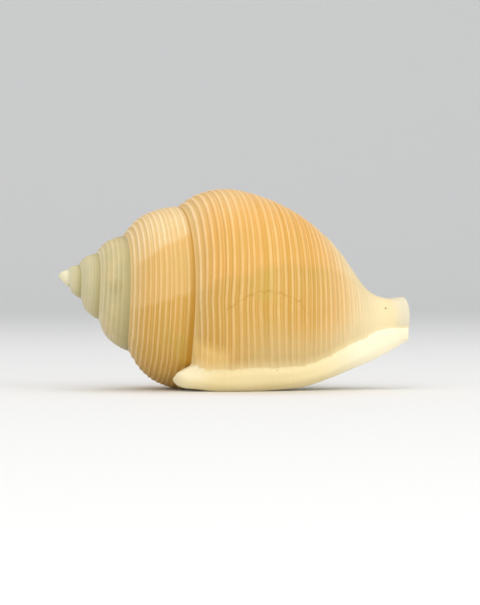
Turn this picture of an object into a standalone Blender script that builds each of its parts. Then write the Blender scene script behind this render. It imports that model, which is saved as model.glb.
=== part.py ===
"""Shell of the sea snail Galeodea keyteri, resting on its mouth.

The shell is one loft. A profile in a half-plane through the coiling axis grows while it
turns about that axis and moves along it, from the apex to the outer lip. Every whorl is
joined to the one before along the suture. From the lip the wall turns in over a thick
rounded rim and runs back as the hollow of the last whorl, closed some way in.
X runs from the apex to the canal, Z is up, the viewer of the photo stands at minus Y.
"""
import math

import bmesh
import bpy
import numpy as np

MM = 0.001

# Turns are counted along the growth, 0 where the last whorl crosses the back of the shell.
MOUTH = 0.395
WHORLS = 5
AXIS_DIP = math.radians(9.0)

# The suture, where each whorl meets the one before, in mm along the axis and out from it.
SUTURE_TURN = (-6, -5, -4, -3, -2.5, -2, -1.5, -1, -0.5, 0, 0.25, MOUTH)
SUTURE_AXIAL = (0.35, 0.8, 1.75, 3.87, 5.45, 7.3, 9.85, 12.4, 17.15, 22.9, 27.65, 29.7)
SUTURE_RADIUS = (0.32, 0.7, 1.4, 2.8, 4.0, 5.9, 7.8, 10.37, 13.45, 18.27, 18.9, 18.75)

# Profiles of the last whorl: nine points (axial, radius) in mm from suture to canal end.
# The fourth point of the first profile is the corner where the outer lip joins on.
PROFILES = {
    MOUTH - 1: ((15.9, 12.65), (19.7, 16.5), (24.3, 18.4), (29.7, 18.75), (35.0, 16.0),
                (42.6, 9.2), (54, 4.4), (65, 3.0), (73.9, 2.0)),
    -0.5: ((17.15, 13.45), (20.8, 17.3), (25.0, 19.3), (30.4, 19.75), (37.0, 17.7),
           (45.2, 12.6), (55.5, 6.6), (65, 5.0), (74.1, 4.0)),
    -0.25: ((19.9, 15.7), (24.0, 19.6), (28.8, 21.6), (34.3, 21.8), (42.0, 19.6),
            (50.5, 14.2), (59.5, 6.5), (66.5, 3.3), (74.0, 2.1)),
    0.0: ((22.9, 18.27), (27.0, 21.8), (32.6, 23.65), (39.0, 23.3), (47.3, 21.0),
          (55.9, 15.5), (64.2, 6.2), (69.1, 3.6), (73.4, 4.6)),
    0.25: ((27.65, 18.9), (31.6, 22.8), (37.5, 25.0), (44.6, 24.6), (52.7, 21.0),
           (60.7, 14.6), (67.3, 8.9), (71.5, 7.5), (75.3, 7.1)),
    MOUTH: ((29.7, 18.75), (32.3, 21.4), (38.7, 21.6), (47.5, 19.3), (55.5, 16.8),
            (63.4, 12.6), (69.4, 9.1), (73.0, 6.5), (75.7, 4.4)),
}
JOINED = 3          # profile point up to which a whorl shows above the next one
LAST = 8            # profile point at the canal's end

# The canal is bent up and away from the viewer, in mm at its end.
BEND_FROM, BEND_TO = 48.0, 74.0
BEND_UP, BEND_FAR = 2.0, 2.6

# The outer lip: a thick rounded band outside, its width in turns at profile points, and a
# thickened edge inside. Its end laps back toward the apex in a rounded lobe. In mm.
LIP_POINT = (0, 1, 2, 3, 4.3, 5, 6, 8)
LIP_WIDTH = (0.024, 0.034, 0.047, 0.052, 0.054, 0.068, 0.085, 0.10)
LIP_BAND_HEIGHT = 1.75
LIP_INSIDE = 1.5
LOBE = 3.3
LOBE_TURNS = 0.022
WALL = 1.15

# The shield of the inner lip, a raised ledge beside the mouth.
SHIELD_POINT = (3.0, 3.6, 4.3, 5.0, 5.7, 6.6, 8.0)
SHIELD_HEIGHT = (0.0, 0.4, 1.9, 3.4, 2.5, 1.3, 0.4)
SHIELD_EDGE = (-0.52, -0.47, -0.44, -0.42, -0.42, -0.44, -0.47)

# How far the hollow runs back behind the mouth, in turns, in the body and at the canal.
HOLLOW_TURNS = 0.62
CANAL_TURNS = 0.30

# The lowest points are flattened, in mm, where the shell has worn on what it rests on.
WORN = 0.3

# Mesh density.
ROWS = 44
COLUMNS_ABOVE = 12
COLUMNS_BASE = 19
RIM_STEPS = 6
DEPTHS = (0, 0.04, 0.1, 0.18, 0.28, 0.4, 0.53, 0.66, 0.78, 0.88, 0.95, 1.0)

SHELL_COLOUR = (0.60, 0.33, 0.115, 1.0)


def ease(x):
    """Smooth step from 0 to 1."""
    x = np.clip(x, 0.0, 1.0)
    return x * x * (3.0 - 2.0 * x)


def through(knots, values, at):
    """Smooth curve through the given values, read at the given places."""
    knots = np.asarray(knots, float)
    values = np.asarray(values, float)
    slopes = np.gradient(values, knots, axis=0)
    at = np.asarray(at, float)
    i = np.clip(np.searchsorted(knots, at, side="right") - 1, 0, len(knots) - 2)
    width = knots[i + 1] - knots[i]
    f = (at - knots[i]) / width
    if values.ndim > 1:
        shape = f.shape + (1,) * (values.ndim - 1)
        f, width = f.reshape(shape), width.reshape(shape)
    a, b = values[i], values[i + 1]
    sa, sb = slopes[i] * width, slopes[i + 1] * width
    return (a * (1 + 2 * f) * (1 - f) ** 2 + sa * f * (1 - f) ** 2
            + b * f * f * (3 - 2 * f) - sb * f * f * (1 - f))


def suture(turn):
    """The suture (axial, radius) at a turn; it grows by a near constant ratio."""
    logs = np.log(np.stack([SUTURE_AXIAL, SUTURE_RADIUS], axis=1))
    return np.exp(through(SUTURE_TURN, logs, turn))


def bulge_shape():
    """The first profile of the last whorl, measured along and across its chord."""
    points = np.array(PROFILES[MOUTH - 1])
    chord = points[JOINED] - points[0]
    normal = np.array([-chord[1], chord[0]])
    offset = points - points[0]
    return np.stack([offset @ chord, offset @ normal], axis=1) / (chord @ chord)


BULGE = bulge_shape()


def control_points(turn):
    """The nine points of the profile at a turn."""
    if turn >= MOUTH - 1:
        keys = sorted(PROFILES)
        return through(keys, [PROFILES[k] for k in keys], turn)
    start, end = suture(turn), suture(turn + 1)
    chord = end - start
    normal = np.array([-chord[1], chord[0]])
    points = start + BULGE[:, :1] * chord + BULGE[:, 1:] * normal
    points[6:] = np.array(PROFILES[MOUTH - 1])[6:]
    return points


def profile(turn, place):
    """(axial, radius) of the smooth profile at places from 0 to LAST."""
    return through(np.arange(LAST + 1), control_points(turn), place)


def outward(turn, place):
    """Direction out of the wall in the profile's half-plane."""
    step = 0.002
    low = np.clip(place - step, 0, LAST)
    high = np.clip(place + step, 0, LAST)
    along = profile(turn, high) - profile(turn, low)
    across = np.stack([-along[..., 1], along[..., 0]], axis=-1)
    return across / np.linalg.norm(across, axis=-1, keepdims=True)


def lip_band(turn, place):
    """Height of the thick band outside the lip."""
    width = np.interp(place, LIP_POINT, LIP_WIDTH)
    along = (turn - (MOUTH - width)) / width
    rise = 0.45 * ease(along / 0.2) + 0.55 * ease((along - 0.1) / 0.55)
    end = ease(place / 0.5) * (1.4 - 0.4 * ease(place / 1.6))
    return LIP_BAND_HEIGHT * rise * end * (1 - 0.45 * ease((place - 5) / 3))


def lobe(place):
    """Share of the lobe at the lip's end: none at the suture, most just beyond it."""
    return ease(place / 0.4) * (1 - ease((place - 0.75) / 1.2))


def shield(turn, place):
    """Height of the shield beside the mouth."""
    edge = np.interp(place, SHIELD_POINT, SHIELD_EDGE)
    height = through(SHIELD_POINT, SHIELD_HEIGHT, np.maximum(place, SHIELD_POINT[0]))
    inside = ease((turn - (MOUTH - 1.14)) / 0.14)
    climb = 0.45 + 0.55 * ease((turn - (MOUTH - 1)) / np.maximum(edge - (MOUTH - 1), 0.01))
    return height * inside * climb * (1 - ease((turn - edge) / 0.025))


def skin(turn, place):
    """The outer surface in the half-plane, with the lip band, its lobe and the shield."""
    relief = lip_band(turn, place) + shield(turn, place)
    points = profile(turn, place) + outward(turn, place) * relief[..., None]
    points[..., 0] -= 0.75 * LOBE * lobe(place) * ease((turn - MOUTH) / LOBE_TURNS + 1)
    return points


def set_in_space(points, turn):
    """Points of the half-plane at a turn, in mm in the resting frame."""
    angle = 2 * math.pi * np.asarray(turn)
    axial, radius = points[..., 0], points[..., 1]
    bend = ease((axial - BEND_FROM) / (BEND_TO - BEND_FROM))
    up = radius * np.cos(angle) + BEND_UP * bend
    far = -radius * np.sin(angle) + BEND_FAR * bend
    return np.stack([axial * math.cos(AXIS_DIP) + up * math.sin(AXIS_DIP), far,
                     up * math.cos(AXIS_DIP) - axial * math.sin(AXIS_DIP)], axis=-1)


class Body:
    """Vertices and faces gathered for one closed mesh."""

    def __init__(self):
        self.points = []
        self.faces = []

    def add(self, points):
        start = len(self.points)
        self.points.extend(np.atleast_2d(points))
        return list(range(start, len(self.points)))

    def face(self, *corners):
        kept = [c for i, c in enumerate(corners) if c != corners[i - 1]]
        if len(kept) >= 3:
            self.faces.append(kept)

    def sheet(self, rows):
        for low, high in zip(rows, rows[1:]):
            for i in range(len(low) - 1):
                self.face(low[i], low[i + 1], high[i])
                self.face(low[i + 1], high[i + 1], high[i])

    def strip(self, first, second):
        """Triangles between two runs of vertices that may differ in number."""
        def shares(run):
            steps = [np.linalg.norm(self.points[b] - self.points[a])
                     for a, b in zip(run, run[1:])]
            return np.concatenate([[0], np.cumsum(steps) / max(sum(steps), 1e-9)])
        a, b, sa, sb = 0, 0, shares(first), shares(second)
        while a < len(first) - 1 or b < len(second) - 1:
            ahead = b == len(second) - 1 or (a < len(first) - 1
                                             and sa[a] + sa[a + 1] < sb[b] + sb[b + 1])
            if ahead:
                self.face(first[a], first[a + 1], second[b])
                a += 1
            else:
                self.face(first[a], second[b + 1], second[b])
                b += 1


def row_turns():
    """Turns of the rows from apex to mouth, the same in every whorl, closer at the lip."""
    close = np.array([0, 0.010, 0.020, 0.030, 0.040, 0.051])
    rest = np.linspace(close[-1], 1, ROWS - len(close) + 2)[1:-1]
    back = np.concatenate([close, rest])
    whole = np.concatenate([back + w for w in range(WHORLS)] + [[WHORLS]])
    return MOUTH - whole[::-1]


def column_places():
    """Profile places of the columns above and below the join, closer at the suture."""
    above = JOINED * np.linspace(0, 1, COLUMNS_ABOVE + 1) ** 1.25
    return above, np.linspace(JOINED, LAST, COLUMNS_BASE + 1)[1:]


def outer_rows(body):
    """The outside from apex to lip; each whorl shares its first column with the last one."""
    turns = row_turns()
    above, base = column_places()
    rows = []
    for i, turn in enumerate(turns):
        last_whorl = i >= len(turns) - 1 - ROWS
        places = np.concatenate([above, base]) if last_whorl else above
        points = set_in_space(skin(turn, places), turn)
        if i >= ROWS:
            rows.append([rows[i - ROWS][COLUMNS_ABOVE]] + body.add(points[1:]))
        else:
            rows.append(body.add(points))
    for i in range(len(rows) - 1):
        last_whorl = i >= len(turns) - 1 - ROWS
        columns = COLUMNS_ABOVE + (COLUMNS_BASE if last_whorl else 0)
        for j in range(columns):
            body.face(rows[i][j], rows[i][j + 1], rows[i + 1][j + 1], rows[i + 1][j])
    close_apex(body, turns, rows)
    return turns, rows


def close_apex(body, turns, rows):
    """A blunt dome over the first whorl."""
    loop = rows[0][::-1] + [row[0] for row in rows[1:ROWS]]
    start = [(turns[0], p) for p in column_places()[0][::-1]]
    start += [(turn, 0.0) for turn in turns[1:ROWS]]
    ring = []
    for turn, place in start:
        axial, radius = skin(turn, np.array(place))
        ring.append(set_in_space(np.array([0.3 * axial, 0.62 * radius]), turn))
    ring = body.add(np.array(ring))
    tip = body.add(set_in_space(np.array([[0.0, 0.0]]), 0.0))[0]
    for i in range(len(loop)):
        after = (i + 1) % len(loop)
        body.face(loop[i], loop[after], ring[after], ring[i])
        body.face(ring[i], ring[after], tip)


def rim_row(angle, places):
    """Points over the rounded edge of the lip, from outside (0) to inside (pi)."""
    base, out = profile(MOUTH, places), outward(MOUTH, places)
    above = lip_band(MOUTH, places)
    below = LIP_INSIDE * ease(places / 0.6) * (1 - 0.5 * ease((places - 5) / 3))
    half = (above + below) / 2
    points = base + out * ((above - below) / 2 + half * math.cos(angle))[:, None]
    lap = (0.75 + 0.25 * ease(angle / 0.9)) * (1 - ease((angle - 1.7) / 1.3))
    points[:, 0] -= LOBE * lap * lobe(places)
    forward = (0.85 + 1.1 * lobe(places)) * half * math.sin(angle)
    forward = forward / (2 * math.pi * points[:, 1])
    return set_in_space(points, MOUTH + forward)


def inner_place(place):
    """Where the outer wall stands across from a place on the inner wall."""
    return through((3, 4, 5, 6, 7, 8), (0, 1.45, 2.5, 3.95, 5.3, 8), place)


def hollow_rows(depth):
    """Outer and inner wall of the hollow at a depth from 0 (mouth) to 1 (closed)."""
    share = np.linspace(0, 1, COLUMNS_BASE + 1)
    corner = JOINED + 0.22 * ease(depth / 0.1)
    place = corner + (LAST - corner) * share
    across = inner_place(place)
    turns_back = HOLLOW_TURNS + (CANAL_TURNS - HOLLOW_TURNS) * ease((place - 5.2) / 2.8)
    thick = WALL + (LIP_INSIDE - WALL) * (1 - ease(depth / 0.12))
    thick = thick * (1 - 0.5 * ease((across - 5) / 3) * (1 - ease(depth / 0.2)))
    outer, inner = [], []
    for p, a, back, wall in zip(place, across, turns_back * depth, thick):
        outer.append(profile(MOUTH - back, a) - outward(MOUTH - back, a) * wall)
        inner.append(skin(MOUTH - 1 - back, np.array(p)))
    outer, inner = np.array(outer), np.array(inner)
    fade = 1 - ease((across - across[0]) / 0.9)
    outer += fade[:, None] * (inner[0] - outer[0])
    gap = math.sqrt(max(0.0, 1 - max(0.0, (depth - 0.5) / 0.5) ** 2))
    middle = (outer + inner) / 2
    turn = MOUTH - turns_back * depth
    return (set_in_space(middle + (outer - middle) * gap, turn),
            set_in_space(middle + (inner - middle) * gap, turn))


def build_body():
    """The whole shell as one closed body."""
    body = Body()
    turns, rows = outer_rows(body)
    start_of_last = rows[-1 - ROWS]
    lip = rows[-1]
    corner = lip[0]

    places = np.concatenate(column_places())
    rim = [lip]
    for k in range(1, RIM_STEPS):
        rim.append([corner] + body.add(rim_row(math.pi * k / RIM_STEPS, places)[1:]))
    body.sheet(rim)

    outer_wall, inner_wall = [], []
    for depth in DEPTHS:
        outer, inner = hollow_rows(depth)
        if depth == 0:
            inner_wall.append(start_of_last[COLUMNS_ABOVE:])
            edge = inner_place(np.linspace(JOINED, LAST, COLUMNS_BASE + 1))
            outer_wall.append([corner] + body.add(rim_row(math.pi, edge)[1:]))
            continue
        inner_wall.append(body.add(inner))
        if depth == 1:
            outer_wall.append(inner_wall[-1])
        else:
            outer_wall.append([inner_wall[-1][0]] + body.add(outer[1:]))
    body.strip(rim[-1], outer_wall[0])
    body.sheet(outer_wall)
    body.sheet(inner_wall[::-1])

    last_rows = rows[-1 - ROWS:]
    last_turns = turns[-1 - ROWS:]
    split = int(np.argmin(np.abs(last_turns - (MOUTH - CANAL_TURNS))))
    rim_of_end = [row[-1] for row in last_rows]
    body.strip([row[-1] for row in inner_wall], rim_of_end[:split + 1])
    body.strip([row[-1] for row in outer_wall[::-1]],
               rim_of_end[split:] + [row[-1] for row in rim[1:]] + [outer_wall[0][-1]])
    return np.array(body.points), body.faces


def rest_on_floor(points):
    """Put the lowest points on the floor, worn flat, and the middle over the origin."""
    points = points.copy()
    points[:, 2] -= points[:, 2].min() + WORN
    points[:, 2] = np.maximum(points[:, 2], 0.0)
    points[:, :2] -= (points[:, :2].min(axis=0) + points[:, :2].max(axis=0)) / 2
    return points


def shell_material():
    material = bpy.data.materials.new("ochre shell")
    material.use_nodes = True
    bsdf = material.node_tree.nodes["Principled BSDF"]
    bsdf.inputs["Base Color"].default_value = SHELL_COLOUR
    bsdf.inputs["Roughness"].default_value = 0.45
    bsdf.inputs["Metallic"].default_value = 0.0
    return material


def make_shell(collection):
    """The shell as a mesh object, triangulated, faces outward, shaded smooth."""
    points, faces = build_body()
    points = rest_on_floor(points)
    mesh = bpy.data.meshes.new("shell")
    mesh.from_pydata((points * MM).tolist(), [], faces)
    bm = bmesh.new()
    bm.from_mesh(mesh)
    bmesh.ops.triangulate(bm, faces=bm.faces)
    bmesh.ops.recalc_face_normals(bm, faces=bm.faces)
    bm.to_mesh(mesh)
    bm.free()
    mesh.materials.append(shell_material())
    shell = bpy.data.objects.new("shell", mesh)
    collection.objects.link(shell)
    bpy.context.view_layer.objects.active = shell
    mesh.shade_smooth()
    mesh.set_sharp_from_angle(angle=math.radians(50))
    return shell


def main():
    for old in list(bpy.data.objects):
        bpy.data.objects.remove(old, do_unlink=True)
    parts = bpy.data.collections.new("Galeodea keyteri shell")
    bpy.context.scene.collection.children.link(parts)
    make_shell(parts)


main()
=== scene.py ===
"""Looks of a Galeodea keyteri shell: ribbed ochre whorls, grey-green spire, cream lip."""
import math

import bmesh
import bpy
import numpy as np
from bpy.props import FloatProperty, FloatVectorProperty, PointerProperty
from bpy.types import Operator, Panel, PropertyGroup
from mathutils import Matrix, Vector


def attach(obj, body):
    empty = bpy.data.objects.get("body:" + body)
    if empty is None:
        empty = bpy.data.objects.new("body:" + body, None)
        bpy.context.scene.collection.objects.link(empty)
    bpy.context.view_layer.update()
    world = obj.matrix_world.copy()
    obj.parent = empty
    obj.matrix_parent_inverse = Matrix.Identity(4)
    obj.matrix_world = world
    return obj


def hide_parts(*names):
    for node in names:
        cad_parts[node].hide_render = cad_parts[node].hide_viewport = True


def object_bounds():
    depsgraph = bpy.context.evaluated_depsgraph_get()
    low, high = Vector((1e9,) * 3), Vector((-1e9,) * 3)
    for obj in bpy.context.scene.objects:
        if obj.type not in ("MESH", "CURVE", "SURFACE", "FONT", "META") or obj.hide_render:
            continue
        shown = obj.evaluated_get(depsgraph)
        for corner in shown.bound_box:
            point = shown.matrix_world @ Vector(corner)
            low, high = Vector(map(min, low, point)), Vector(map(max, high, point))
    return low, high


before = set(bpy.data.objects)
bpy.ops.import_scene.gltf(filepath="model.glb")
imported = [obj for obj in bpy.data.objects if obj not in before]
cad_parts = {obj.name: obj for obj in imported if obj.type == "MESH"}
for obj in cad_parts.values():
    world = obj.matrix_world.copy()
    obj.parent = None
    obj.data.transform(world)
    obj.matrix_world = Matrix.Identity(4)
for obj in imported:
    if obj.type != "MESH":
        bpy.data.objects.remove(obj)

bl_info = {
    "name": "Galeodea Keyteri Shell",
    "version": (1, 0, 0),
    "blender": (4, 5, 0),
    "location": "3D View > Sidebar > Shell",
    "description": "Builds a ribbed spiral sea shell and its photo stage",
    "category": "Add Mesh",
}

CAD_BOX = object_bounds()
MM = 0.001

# Turns are counted along the growth, 0 where the last whorl crosses the back of the shell.
MOUTH = 0.395
WHORLS = 5
AXIS_DIP = math.radians(9.0)
# Where the coiling axis starts, at the apex, in mm in the row frame.
APEX = (-37.513, 1.612, 24.263)

# The suture, where each whorl meets the one before, in mm along the axis and out from it.
SUTURE_TURN = (-6, -5, -4, -3, -2.5, -2, -1.5, -1, -0.5, 0, 0.25, MOUTH)
SUTURE_AXIAL = (0.35, 0.8, 1.75, 3.87, 5.45, 7.3, 9.85, 12.4, 17.15, 22.9, 27.65, 29.7)
SUTURE_RADIUS = (0.32, 0.7, 1.4, 2.8, 4.0, 5.9, 7.8, 10.37, 13.45, 18.27, 18.9, 18.75)

# Profiles of the last whorl: nine points (axial, radius) in mm from suture to canal end.
PROFILES = {
    MOUTH - 1: ((15.9, 12.65), (19.7, 16.5), (24.3, 18.4), (29.7, 18.75), (35.0, 16.0),
                (42.6, 9.2), (54, 4.4), (65, 3.0), (73.9, 2.0)),
    -0.5: ((17.15, 13.45), (20.8, 17.3), (25.0, 19.3), (30.4, 19.75), (37.0, 17.7),
           (45.2, 12.6), (55.5, 6.6), (65, 5.0), (74.1, 4.0)),
    -0.25: ((19.9, 15.7), (24.0, 19.6), (28.8, 21.6), (34.3, 21.8), (42.0, 19.6),
            (50.5, 14.2), (59.5, 6.5), (66.5, 3.3), (74.0, 2.1)),
    0.0: ((22.9, 18.27), (27.0, 21.8), (32.6, 23.65), (39.0, 23.3), (47.3, 21.0),
          (55.9, 15.5), (64.2, 6.2), (69.1, 3.6), (73.4, 4.6)),
    0.25: ((27.65, 18.9), (31.6, 22.8), (37.5, 25.0), (44.6, 24.6), (52.7, 21.0),
           (60.7, 14.6), (67.3, 8.9), (71.5, 7.5), (75.3, 7.1)),
    MOUTH: ((29.7, 18.75), (32.3, 21.4), (38.7, 21.6), (47.5, 19.3), (55.5, 16.8),
            (63.4, 12.6), (69.4, 9.1), (73.0, 6.5), (75.7, 4.4)),
}
JOINED = 3          # profile point up to which a whorl shows above the next one
LAST = 8            # profile point at the canal's end

# The canal is bent up and away from the viewer, in mm at its end.
BEND_FROM, BEND_TO = 48.0, 74.0
BEND_UP, BEND_FAR = 2.0, 2.6

# The outer lip: a thick rounded band outside, its width in turns at profile points, and a
# thickened edge inside. Its end laps back toward the apex in a rounded lobe. In mm.
LIP_POINT = (0, 0.9, 1.5, 2.1, 2.75, 3.7, 4.4, 4.8, 5.5, 6, 6.5, 8)
LIP_WIDTH = (0.018, 0.028, 0.0355, 0.0455, 0.0512, 0.0505, 0.0555, 0.068, 0.0755, 0.09, 0.10, 0.11)
LIP_BAND_HEIGHT = 1.75
LIP_INSIDE = 1.5
LOBE = 2.75
LOBE_TURNS = 0.022
WALL = 1.15

# The shield of the inner lip, a raised ledge beside the mouth.
SHIELD_POINT = (3.0, 3.6, 4.3, 5.0, 5.7, 6.6, 8.0)
SHIELD_HEIGHT = (0.0, 0.4, 1.9, 3.4, 2.5, 1.3, 0.4)
SHIELD_EDGE = (-0.52, -0.47, -0.44, -0.42, -0.42, -0.44, -0.47)

HOLLOW_TURNS = 0.62
CANAL_TURNS = 0.30

# How many spiral cords lie between the suture and each profile point.
CORDS_AT = (0, 3.6, 7.8, 12, 17.8, 24.5, 32, 37, 41)
SAMPLES_PER_CORD = 8
CORDS = 41
CORDS_ABOVE = 12

# Low on the front the cords hang straight down: how many cords they are moved by at profile
# places, from HANG_FROM on. HANG_REACH is the sine of the angle at which they were counted.
HANG_PLACE = (0, 0.3, 0.6, 1.2, 2.0, 2.9, 3.6, 4.5, 6.0)
HANG_CORDS = (0, 1.1, 1.6, 1.65, 1.3, 0.8, 0.5, 0.2, 0.0)
HANG_FROM, HANG_REACH = 0.25, 0.56

# How finely the mesh is divided: rows a whorl, steps over the lip's rim, columns and rows of the
# hollow.
ROWS = 112
RIM_STEPS = 14
HOLLOW_COLUMNS = 96
HOLLOW_ROWS = 34

# Rings of the blunt dome over the apex, as shares of the first whorl's axial place and radius.
DOME_RINGS = ((0.75, 0.93), (0.5, 0.8), (0.28, 0.6), (0.1, 0.34))

# Unevenness as sums of sines, each with its length, size and shift. The first two are in cords,
# the two after them have their lengths in profile points and their sizes in turns.
CORD_SPACING = ((4.7, 0.13, 1.3), (2.9, 0.08, 0.4), (11.3, 0.2, 2.0))
LIP_EDGE = ((7.3, 0.17, 0.6), (3.1, 0.12, 1.9), (1.7, 0.06, 0.3))
BAND_EDGE = ((0.9, 0.0012, 0), (0.37, 0.00084, 1))
CRACK_EDGE = ((0.31, 0.0012, 0), (0.13, 0.0008, 1.1), (0.71, 0.001, 2))

# How pale the colour is, from ochre (0) over orange to cream (1), at growth lines that are
# counted by the turn where each meets the suture. It falls back at each growth pause.
GROWTH_AT = (-1.5, -1.12, -1.115, -0.86, -0.802, -0.790, -0.695, -0.689, -0.5, -0.4, -0.39, -0.15,
             -0.1, -0.09, 0.08, 0.17, 0.238, 0.248, 0.31, 0.45)
GROWTH_TONE = (0.6, 0.95, 0.75, 0.95, 0.82, 0.36, 0.36, 0.08, 0.02, 0.3, 0.1, 0.6,
               0.7, 0.5, 0.72, 0.46, 0.36, 0.08, 0.12, 0.3)

# A healed crack across the last whorl: turn at profile places.
SCAR_PLACE = (1.46, 1.82, 2.0, 2.27, 2.73, 3.15, 3.57, 3.68, 3.85)
SCAR_TURN = (0.26, 0.2473, 0.24, 0.2336, 0.2277, 0.2297, 0.232, 0.243, 0.256)

# Pinholes, and a grey smudge on the spire: turn, profile place, radius in mm.
PINHOLES = ((0.204, 6.68, 0.24), (0.349, 3.05, 0.12))
SMUDGE = (-1.742, 2.05, 2.8)

# Turns along the growth: up to which every other cord is missing, up to which the skin is grey,
# over which the grey turns paler toward the apex, between which the whorl before the last has a
# duller zone (its two soft edges), and from which the strip of fresh growth runs to the lip.
FADED_TO = -1.75
GREY_TO = -1.42
OLDER = (-2.2, -2.6)
DULL_FROM, DULL_TO = (-0.809, -0.799), (-0.687, -0.697)
FRESH_FROM = 0.318

# A growth line leans back by this many turns a profile point, and by more on the older whorls.
SLANT, SLANT_MORE = 0.018, 0.0055
RIPPLES_PER_TURN = 46

# How strongly each mark shows in the colour, from 0 to 1.
SHOULDER_SHARE = 0.6
FRESH_SHARE = 0.6
GROWTH_LINE_SHARE = 0.15
DULL_SHARE = 0.35
KHAKI_SHARE = 0.6
OLDER_SHARE = 0.5
# Painted shade on the older whorls, darker toward each next suture.
PAINTED_SUTURE_SHADE_SHARE = 0.75
# The suture's dark line together with painted shade in its crease.
SUTURE_SHARE = 0.95
CRACK_SHARE = 0.5
CANAL_SHARE = 0.97
GLOW_SHARE = 0.55
PINHOLE_SHARE = 0.8
HOLLOW_SHARE = 0.85

# Noise for each kind of patch: about how many to the metre, and its levels of detail.
MOSS_PATCHES = (130.0, 3.0)
SPIRE_PATCHES = (230.0, 2.0)
CANAL_CLOUDS = (170.0, 4.0)
LIP_CLOUDS = (60.0, 3.0)
GLAZE_FRINGE = (900.0, 2.0)
GRAIN = (2600.0, 2.0)

# The satin finish: the skin's roughness, how much growth lines add to it and the glaze takes off,
# its shine, a thin clear coat and the coat's roughness.
ROUGHNESS, LINES_ROUGHER, GLAZE_SMOOTHER = 0.38, 0.16, 0.10
SHINE, COAT, COAT_ROUGHNESS = 0.28, 0.04, 0.3
BUMP_STRENGTH, BUMP_HEIGHT = 0.4, 0.14 * MM

# The stage, in metres: the floor's half width, how far back it goes, the radius of its curve
# up and its height.
FLOOR_SIDE, FLOOR_BACK, FLOOR_CURVE, FLOOR_HIGH = 3.0, 1.5, 0.5, 2.5
# Each light's name, position, size and share of the power.
LIGHTS = (("key", (-0.2, -0.45, 0.55), 0.6, 0.5), ("fill", (0.55, -0.45, 0.3), 0.6, 0.6),
          ("front", (0.0, -0.8, 0.02), 0.6, 0.95), ("top", (-0.05, 0.15, 0.7), 0.6, 0.6))
LIGHT_COLOUR = (1.0, 0.985, 0.96)
SKY_COLOUR = (0.96, 0.97, 1.0, 1.0)

# The camera stands as in the photo. It aims a little beside the middle of the shell, and the
# picture is this many metres wide there.
CAMERA_AZIMUTH, CAMERA_ELEVATION = math.radians(-6.5), math.radians(0.8)
AIM_RIGHT, AIM_UP = 0.00107, -0.00277
PICTURE_WIDTH = 0.1023
SENSOR_MM = 36.0


def ease(x):
    """Smooth step from 0 to 1."""
    x = np.clip(x, 0.0, 1.0)
    return x * x * (3.0 - 2.0 * x)


def through(knots, values, at):
    """Smooth curve through the given values, read at the given places."""
    knots = np.asarray(knots, float)
    values = np.asarray(values, float)
    slopes = np.gradient(values, knots, axis=0)
    at = np.asarray(at, float)
    i = np.clip(np.searchsorted(knots, at, side="right") - 1, 0, len(knots) - 2)
    width = knots[i + 1] - knots[i]
    f = (at - knots[i]) / width
    if values.ndim > 1:
        shape = f.shape + (1,) * (values.ndim - 1)
        f, width = f.reshape(shape), width.reshape(shape)
    a, b = values[i], values[i + 1]
    sa, sb = slopes[i] * width, slopes[i + 1] * width
    return (a * (1 + 2 * f) * (1 - f) ** 2 + sa * f * (1 - f) ** 2
            + b * f * f * (3 - 2 * f) - sb * f * f * (1 - f))


def waves(x, *terms):
    """A sum of sines of unlike length, for a repeatable unevenness."""
    return sum(size * np.sin(2 * math.pi * x / length + shift) for length, size, shift in terms)


def suture(turn):
    """The suture (axial, radius) at a turn; it grows by a near constant ratio."""
    logs = np.log(np.stack([SUTURE_AXIAL, SUTURE_RADIUS], axis=1))
    return np.exp(through(SUTURE_TURN, logs, turn))


def bulge_shape():
    """The first profile of the last whorl, measured along and across its chord."""
    points = np.array(PROFILES[MOUTH - 1])
    chord = points[JOINED] - points[0]
    normal = np.array([-chord[1], chord[0]])
    offset = points - points[0]
    return np.stack([offset @ chord, offset @ normal], axis=1) / (chord @ chord)


BULGE = bulge_shape()


def control_points(turn):
    """The nine points of the profile at a turn."""
    if turn >= MOUTH - 1:
        keys = sorted(PROFILES)
        return through(keys, [PROFILES[k] for k in keys], turn)
    start, end = suture(turn), suture(turn + 1)
    chord = end - start
    normal = np.array([-chord[1], chord[0]])
    points = start + BULGE[:, :1] * chord + BULGE[:, 1:] * normal
    points[6:] = np.array(PROFILES[MOUTH - 1])[6:]
    return points


def profile(turn, place):
    """(axial, radius) of the smooth profile at places from 0 to LAST."""
    return through(np.arange(LAST + 1), control_points(turn), place)


def outward(turn, place):
    """Direction out of the wall in the profile's half-plane."""
    step = 0.002
    low = np.clip(place - step, 0, LAST)
    high = np.clip(place + step, 0, LAST)
    along = profile(turn, high) - profile(turn, low)
    across = np.stack([-along[..., 1], along[..., 0]], axis=-1)
    return across / np.linalg.norm(across, axis=-1, keepdims=True)


def lip_band(turn, place):
    """Height of the thick band outside the lip."""
    width = np.interp(place, LIP_POINT, LIP_WIDTH)
    along = (turn - (MOUTH - width)) / width
    rise = 0.45 * ease(along / 0.2) + 0.55 * ease((along - 0.1) / 0.55)
    end = ease(place / 0.5) * (1.4 - 0.4 * ease(place / 1.6))
    return LIP_BAND_HEIGHT * rise * end * (1 - 0.45 * ease((place - 5) / 3))


def lobe(place):
    """Share of the lobe at the lip's end: none at the suture, most just beyond it."""
    return ease(place / 0.4) * (1 - ease((place - 0.75) / 1.2))


def shield_edge(place):
    """The turn at which the shield ends."""
    return np.interp(place, SHIELD_POINT, SHIELD_EDGE)


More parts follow.
